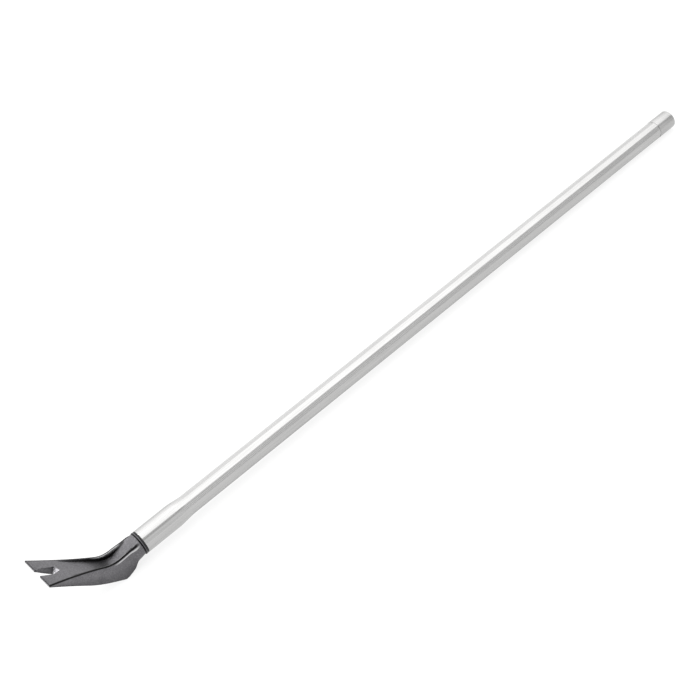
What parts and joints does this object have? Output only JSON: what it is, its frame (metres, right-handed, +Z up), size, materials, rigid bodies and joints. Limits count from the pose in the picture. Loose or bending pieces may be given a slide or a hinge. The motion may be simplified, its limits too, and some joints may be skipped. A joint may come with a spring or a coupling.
{
  "type": "roofing pry shovel",
  "caption": "Long-handled roofing tear-off tool: a forked, heeled cast prying head with a nail slot on a ribbed aluminium tube handle with an end cap.",
  "frame": {"origin": "on the floor under the middle of the resting tool's bounding box", "axes": "+X from the blade towards the handle's far end, +Y across the blade, +Z up; the tool rests on its heel and the end cap with the hollow side of the head up, so the handle's axis slopes down by 0.48 degrees towards +X"},
  "size_m": [1.374, 0.071, 0.1089],
  "materials": {
    "cast_head": "satin dark grey coating on a cast steel head, slightly grainy",
    "aluminium_tube": "bright drawn and anodised, fine lengthwise lines",
    "black_nylon": "black moulded nylon",
    "cap_metal": "satin silver",
    "rivet_metal": "plain steel blind rivets"
  },
  "bodies": {
    "root": {"head_casting": "cast_head", "handle_tube": "aluminium_tube", "collar_liner": "black_nylon", "end_cap": "cap_metal", "rivet_body_front": "rivet_metal", "rivet_body_rear": "rivet_metal", "rivet_mandrel_front": "rivet_metal", "rivet_mandrel_rear": "rivet_metal"}
  },
  "joints": []
}
